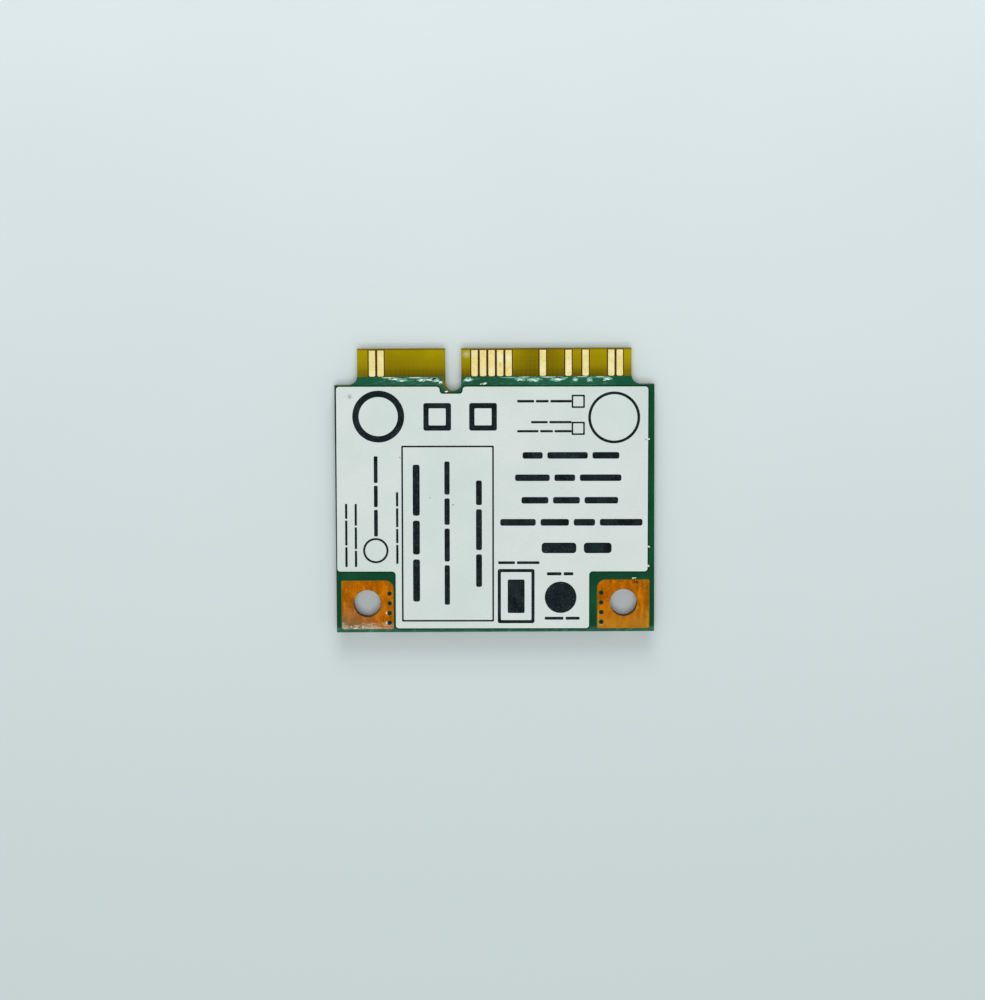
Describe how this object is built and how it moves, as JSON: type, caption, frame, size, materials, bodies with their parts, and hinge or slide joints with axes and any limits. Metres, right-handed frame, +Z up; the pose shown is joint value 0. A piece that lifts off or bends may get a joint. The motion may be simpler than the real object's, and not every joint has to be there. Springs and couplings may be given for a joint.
{
  "type": "mini pcie wifi card",
  "caption": "Flat radio card: green keyed board with gold edge contacts, screw holes in its rear corners, a paper label, a sheet shield and two antenna sockets.",
  "frame": {"origin": "under the middle of the board's outline, on the surface that the shield lid rests on", "axes": "+X across the card, to the right seen from the label side; +Y towards the edge contacts; +Z up, out of the label"},
  "size_m": [0.03, 0.0268, 0.0026],
  "materials": {
    "laminate": "bare glass-fibre board, satin",
    "solder_mask": "green film, glossy",
    "contact_gold": "gold plate over copper",
    "pad_copper": "bare copper, dulled",
    "label_paper": "white paper, printed",
    "shield_sheet": "tinned sheet steel",
    "solder": "bright solder and tin plate",
    "socket_plating": "thin gold plate",
    "socket_insulator": "pale moulded plastic",
    "chip_mould": "black moulding compound",
    "capacitor_ceramic": "tan fired ceramic",
    "resistor_glaze": "black glaze on white ceramic",
    "filter_ceramic": "pale fired ceramic",
    "ferrite": "dark ferrite",
    "crystal_ceramic": "brown ceramic tray",
    "crystal_metal": "plated can"
  },
  "bodies": {
    "root": {"laminate": "laminate", "label_side_mask": "solder_mask", "component_side_mask": "solder_mask", "label_side_contacts": "contact_gold", "component_side_contacts": "contact_gold", "label_left_screw_pad": "pad_copper", "label_right_screw_pad": "pad_copper", "component_left_screw_pad": "pad_copper", "component_right_screw_pad": "pad_copper", "label": "label_paper", "shield_frame": "shield_sheet", "shield_lid": "shield_sheet", "solder_lands": "solder", "main_socket_base": "socket_insulator", "main_socket_shell": "socket_plating", "main_socket_pin": "socket_plating", "second_socket_base": "socket_insulator", "second_socket_shell": "socket_plating", "second_socket_pin": "socket_plating", "radio_chip_body": "chip_mould", "radio_chip_leads": "solder", "memory_chip_body": "chip_mould", "memory_chip_leads": "solder", "antenna_switch_body": "chip_mould", "antenna_switch_leads": "solder", "crystal_base": "crystal_ceramic", "crystal_can": "crystal_metal", "capacitor_bodies": "capacitor_ceramic", "capacitor_terminals": "solder", "resistor_bodies": "resistor_glaze", "resistor_terminals": "solder", "bulk_capacitor_bodies": "capacitor_ceramic", "bulk_capacitor_terminals": "solder", "band_filter_bodies": "filter_ceramic", "band_filter_terminals": "solder", "power_inductor_bodies": "ferrite", "power_inductor_terminals": "solder"}
  },
  "joints": []
}
